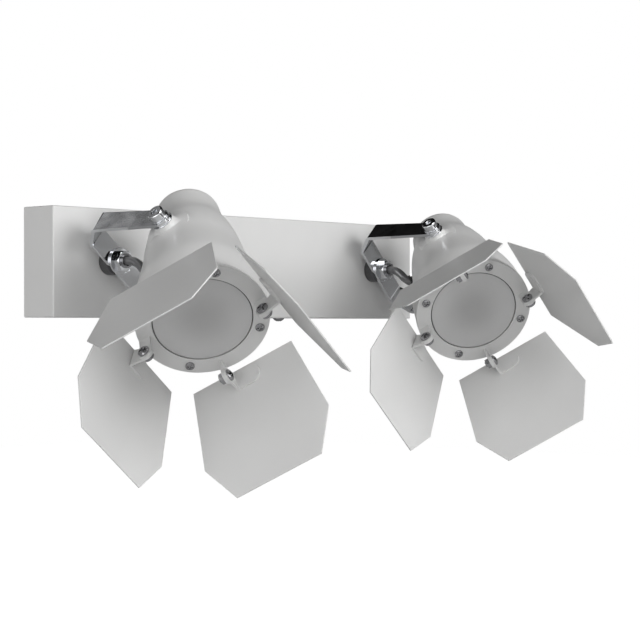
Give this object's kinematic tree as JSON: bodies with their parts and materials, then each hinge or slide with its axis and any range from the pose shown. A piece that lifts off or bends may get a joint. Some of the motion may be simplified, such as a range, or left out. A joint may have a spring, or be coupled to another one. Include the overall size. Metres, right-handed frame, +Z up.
{
  "type": "wall spotlight",
  "caption": "Long flat wall box carrying swivelling bell-shaped spotlights on bent chrome yokes, with hinged barn doors round each frosted lens",
  "frame": {"origin": "middle of the wall box's back face, on the wall", "axes": "+X along the box to the right as seen from the room, +Y into the wall, +Z up"},
  "size_m": [0.477, 0.2683, 0.2006],
  "materials": {
    "white_paint": "fine satin powder coat",
    "zinc_steel": "zinc plated sheet",
    "screw_steel": "plated, semi-bright",
    "chrome": "polished chrome",
    "dark_spacer": "dark grey, satin",
    "black_rubber": "matte",
    "cable_sheath": "silver-grey sheath, satin",
    "ceramic": "off-white ceramic, matte",
    "brass": "plain",
    "bulb_glass": "silvered lamp glass",
    "reflector_aluminium": "bright anodised",
    "frosted_glass": "evenly frosted"
  },
  "bodies": {
    "root": {"cover": "white_paint", "back_plate": "zinc_steel", "cover_screws": "screw_steel", "terminal_block": "ceramic", "earth_terminal": "brass", "cable_grommet": "black_rubber", "leads": "cable_sheath", "spacers": "dark_spacer", "stems": "screw_steel", "stem_nuts": "chrome", "stem_washers": "chrome"},
    "left_yoke": {"left_yoke": "chrome"},
    "left_head": {"left_pivot_screws": "chrome", "left_pivot_washers": "chrome", "left_bell": "white_paint", "left_bell_grommet": "black_rubber", "left_cable": "cable_sheath", "left_lamp_holder": "ceramic", "left_bulb": "bulb_glass", "left_reflector": "reflector_aluminium", "left_lens": "frosted_glass", "left_gasket": "black_rubber", "left_ring": "white_paint", "left_ring_screws": "screw_steel", "left_hinge_bolts": "screw_steel", "left_hinge_nuts": "screw_steel"},
    "left_door_1": {"left_door_1": "white_paint", "left_leaf_1": "white_paint"},
    "left_door_2": {"left_door_2": "white_paint", "left_leaf_2": "white_paint"},
    "left_door_3": {"left_door_3": "white_paint", "left_leaf_3": "white_paint"},
    "left_door_4": {"left_door_4": "white_paint", "left_leaf_4": "white_paint"},
    "right_yoke": {"right_yoke": "chrome"},
    "right_head": {"right_pivot_screws": "chrome", "right_pivot_washers": "chrome", "right_bell": "white_paint", "right_bell_grommet": "black_rubber", "right_cable": "cable_sheath", "right_lamp_holder": "ceramic", "right_bulb": "bulb_glass", "right_reflector": "reflector_aluminium", "right_lens": "frosted_glass", "right_gasket": "black_rubber", "right_ring": "white_paint", "right_ring_screws": "screw_steel", "right_hinge_bolts": "screw_steel", "right_hinge_nuts": "screw_steel"},
    "right_door_1": {"right_door_1": "white_paint", "right_leaf_1": "white_paint"},
    "right_door_2": {"right_door_2": "white_paint", "right_leaf_2": "white_paint"},
    "right_door_3": {"right_door_3": "white_paint", "right_leaf_3": "white_paint"},
    "right_door_4": {"right_door_4": "white_paint", "right_leaf_4": "white_paint"}
  },
  "joints": [
    {"name": "left_swivel", "type": "hinge", "parent": "root", "child": "left_yoke", "pos_m": [-0.142, -0.03, 0.001], "axis": [0, 1, 0], "range_deg": [-80, 80], "deforming": ["left_cable"]},
    {"name": "left_tilt", "type": "hinge", "parent": "left_yoke", "child": "left_head", "pos_m": [-0.142, -0.112, 0.001], "axis": [0.7749, 0, -0.632], "range_deg": [-52.3, 27.7], "deforming": ["left_cable"]},
    {"name": "left_door_1_hinge", "type": "hinge", "parent": "left_head", "child": "left_door_1", "pos_m": [-0.15122, -0.15981, -0.07232], "axis": [0.3959, -0.7912, 0.4661], "range_deg": [-20, 17]},
    {"name": "left_door_2_hinge", "type": "hinge", "parent": "left_head", "child": "left_door_2", "pos_m": [-0.16589, -0.1912, -0.02904], "axis": [-0.7702, -0.0097, 0.6378], "range_deg": [-21.3, 15.7]},
    {"name": "left_door_3_hinge", "type": "hinge", "parent": "left_head", "child": "left_door_3", "pos_m": [-0.2116, -0.16057, -0.02232], "axis": [-0.3959, 0.7912, -0.4661], "range_deg": [-17.8, 19.2]},
    {"name": "left_door_4_hinge", "type": "hinge", "parent": "left_head", "child": "left_door_4", "pos_m": [-0.19693, -0.12917, -0.06559], "axis": [0.7702, 0.0097, -0.6378], "range_deg": [-18.6, 18.4]},
    {"name": "right_swivel", "type": "hinge", "parent": "root", "child": "right_yoke", "pos_m": [0.142, -0.03, 0.001], "axis": [0, 1, 0], "range_deg": [-80, 80], "deforming": ["right_cable"]},
    {"name": "right_tilt", "type": "hinge", "parent": "right_yoke", "child": "right_head", "pos_m": [0.142, -0.112, 0.001], "axis": [0.6871, 0, -0.7266], "range_deg": [-47.4, 32.6], "deforming": ["right_cable"]},
    {"name": "right_door_1_hinge", "type": "hinge", "parent": "right_head", "child": "right_door_1", "pos_m": [0.12757, -0.16655, -0.06655], "axis": [0.4626, -0.7355, 0.4951], "range_deg": [-20.6, 16.4]},
    {"name": "right_door_2_hinge", "type": "hinge", "parent": "right_head", "child": "right_door_2", "pos_m": [0.11799, -0.19417, -0.01945], "axis": [-0.7071, 0.0308, 0.7065], "range_deg": [-20.6, 16.4]},
    {"name": "right_door_3_hinge", "type": "hinge", "parent": "right_head", "child": "right_door_3", "pos_m": [0.07214, -0.16413, -0.01116], "axis": [-0.4626, 0.7355, -0.4951], "range_deg": [-23.8, 13.2]},
    {"name": "right_door_4_hinge", "type": "hinge", "parent": "right_head", "child": "right_door_4", "pos_m": [0.08172, -0.13651, -0.05826], "axis": [0.7071, -0.0308, -0.7065], "range_deg": [-30, 7]}
  ]
}
